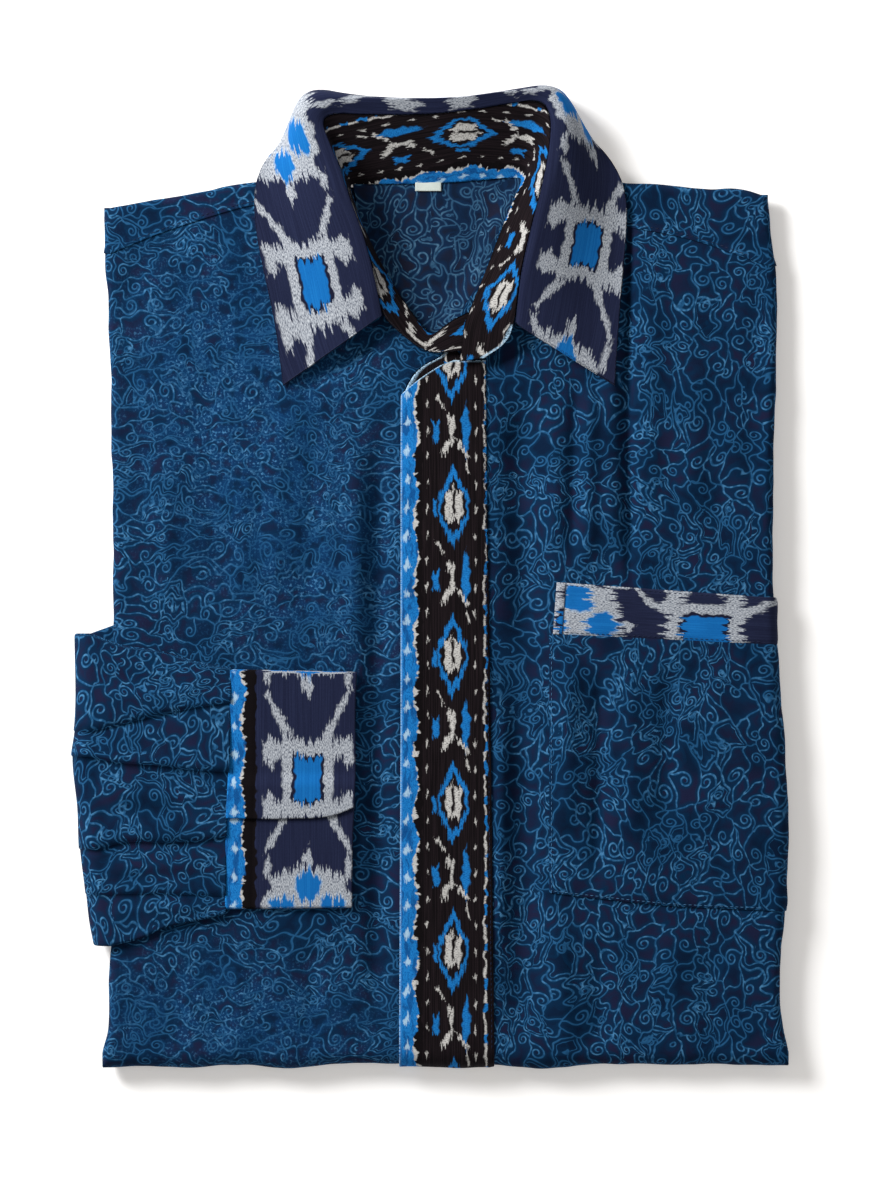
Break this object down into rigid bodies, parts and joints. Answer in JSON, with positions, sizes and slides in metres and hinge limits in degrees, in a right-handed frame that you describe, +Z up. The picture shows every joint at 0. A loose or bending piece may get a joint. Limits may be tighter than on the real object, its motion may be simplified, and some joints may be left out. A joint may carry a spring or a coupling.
{
  "type": "folded batik shirt",
  "caption": "Long-sleeved men's batik shirt with ikat collar, placket, cuff and pocket band, folded flat with one sleeve laid across the front.",
  "frame": {"origin": "bottom centre of the bounding box, on the surface the shirt lies on", "axes": "+X towards the wearer's left, +Y from the folded tail to the collar, +Z up from the surface out of the shirt's front"},
  "size_m": [0.3594, 0.4908, 0.0277],
  "materials": {
    "batik": "matte printed cotton, dark navy with blue line work",
    "border_ikat": "matte woven cotton ikat, near-black with blue and cream figures",
    "large_ikat": "matte woven cotton ikat, navy with grey frames and bright blue figures",
    "tab": "pale woven tape, blank"
  },
  "bodies": {
    "root": {"folded_layers": "batik", "front_right": "batik", "front_left": "batik", "yoke_right": "batik", "yoke_left": "batik", "back": "batik", "button_band": "border_ikat", "placket": "border_ikat", "pocket": "batik", "pocket_band": "large_ikat", "sleeve": "batik", "cuff": "large_ikat", "collar_stand": "border_ikat", "collar_leaf": "large_ikat", "neck_tab": "tab"}
  },
  "joints": []
}
